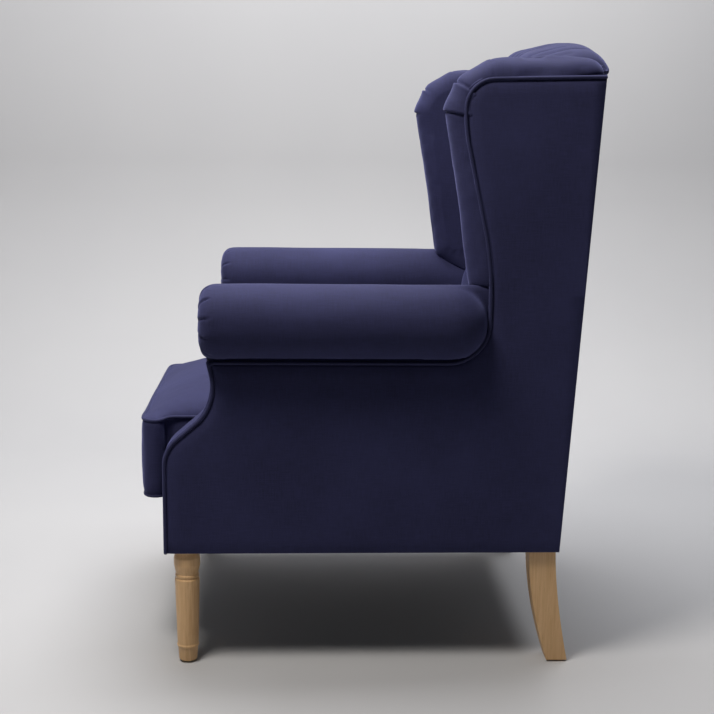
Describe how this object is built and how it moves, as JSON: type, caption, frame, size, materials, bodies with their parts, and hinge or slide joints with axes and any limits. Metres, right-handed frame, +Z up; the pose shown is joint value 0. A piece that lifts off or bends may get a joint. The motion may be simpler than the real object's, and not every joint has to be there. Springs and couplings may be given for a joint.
{
  "type": "wing armchair",
  "caption": "Navy fabric wing armchair with rolled arms, padded wings, a buttoned back, a loose T-shaped seat cushion and pale oak legs.",
  "frame": {"origin": "on the floor, at the centre of the chair's bounding box seen from above", "axes": "+Z up, the front of the chair faces -Y, +X to the sitter's left"},
  "size_m": [0.724, 0.794, 1.076],
  "materials": {
    "navy_cloth": "matte weave",
    "piping_cloth": "matte weave",
    "oak": "satin",
    "frame_wood": "sawn",
    "steel": "zinc plated",
    "zip_metal": "satin",
    "foam": "open cell foam",
    "felt": "felted",
    "black_cloth": "woven",
    "black_plastic": "matte"
  },
  "bodies": {
    "root": {"front_seat_rail": "frame_wood", "rear_seat_rail": "frame_wood", "side_seat_rail_left": "frame_wood", "side_seat_rail_right": "frame_wood", "front_post_left": "frame_wood", "front_post_right": "frame_wood", "back_post_left": "frame_wood", "back_post_right": "frame_wood", "arm_rail_left": "frame_wood", "arm_rail_right": "frame_wood", "wing_frame_left": "frame_wood", "wing_frame_right": "frame_wood", "crest_rail": "frame_wood", "lumbar_rail": "frame_wood", "corner_blocks": "frame_wood", "frame_screws": "steel", "front_leg_left": "oak", "front_leg_right": "oak", "rear_leg_left": "oak", "rear_leg_right": "oak", "leg_bolts": "steel", "leg_glides": "black_plastic", "seat_springs": "steel", "spring_clips": "steel", "spring_pad": "felt", "seat_deck": "navy_cloth", "dust_cover": "black_cloth", "back_webbing": "black_cloth", "back_foam": "foam", "back_cover": "navy_cloth", "back_buttons": "navy_cloth", "outside_back": "navy_cloth", "back_piping": "piping_cloth", "arm_foam_left": "foam", "arm_foam_right": "foam", "arm_cover_left": "navy_cloth", "arm_cover_right": "navy_cloth", "arm_facing_left": "navy_cloth", "arm_facing_right": "navy_cloth", "wing_pad_left": "navy_cloth", "wing_pad_right": "navy_cloth", "side_panel_left": "navy_cloth", "side_panel_right": "navy_cloth", "side_piping_left": "piping_cloth", "side_piping_right": "piping_cloth", "front_border": "navy_cloth"},
    "seat_cushion": {"cushion_foam": "foam", "cushion_cover": "navy_cloth", "cushion_piping_top": "piping_cloth", "cushion_piping_bottom": "piping_cloth", "cushion_zip": "black_cloth"},
    "zip_slider": {"zip_slider": "zip_metal"},
    "zip_pull": {"zip_pull": "zip_metal"}
  },
  "joints": [
    {"name": "cushion_lift", "type": "slide", "parent": "root", "child": "seat_cushion", "axis": [0, 0, 1], "range_m": [0, 0.8]},
    {"name": "zip_slide", "type": "slide", "parent": "seat_cushion", "child": "zip_slider", "axis": [-1, 0, 0], "range_m": [0, 0.32]},
    {"name": "pull_swing", "type": "hinge", "parent": "zip_slider", "child": "zip_pull", "pos_m": [0.163, 0.1862, 0.3545], "axis": [0, 1, 0], "range_deg": [-85, 85]}
  ]
}
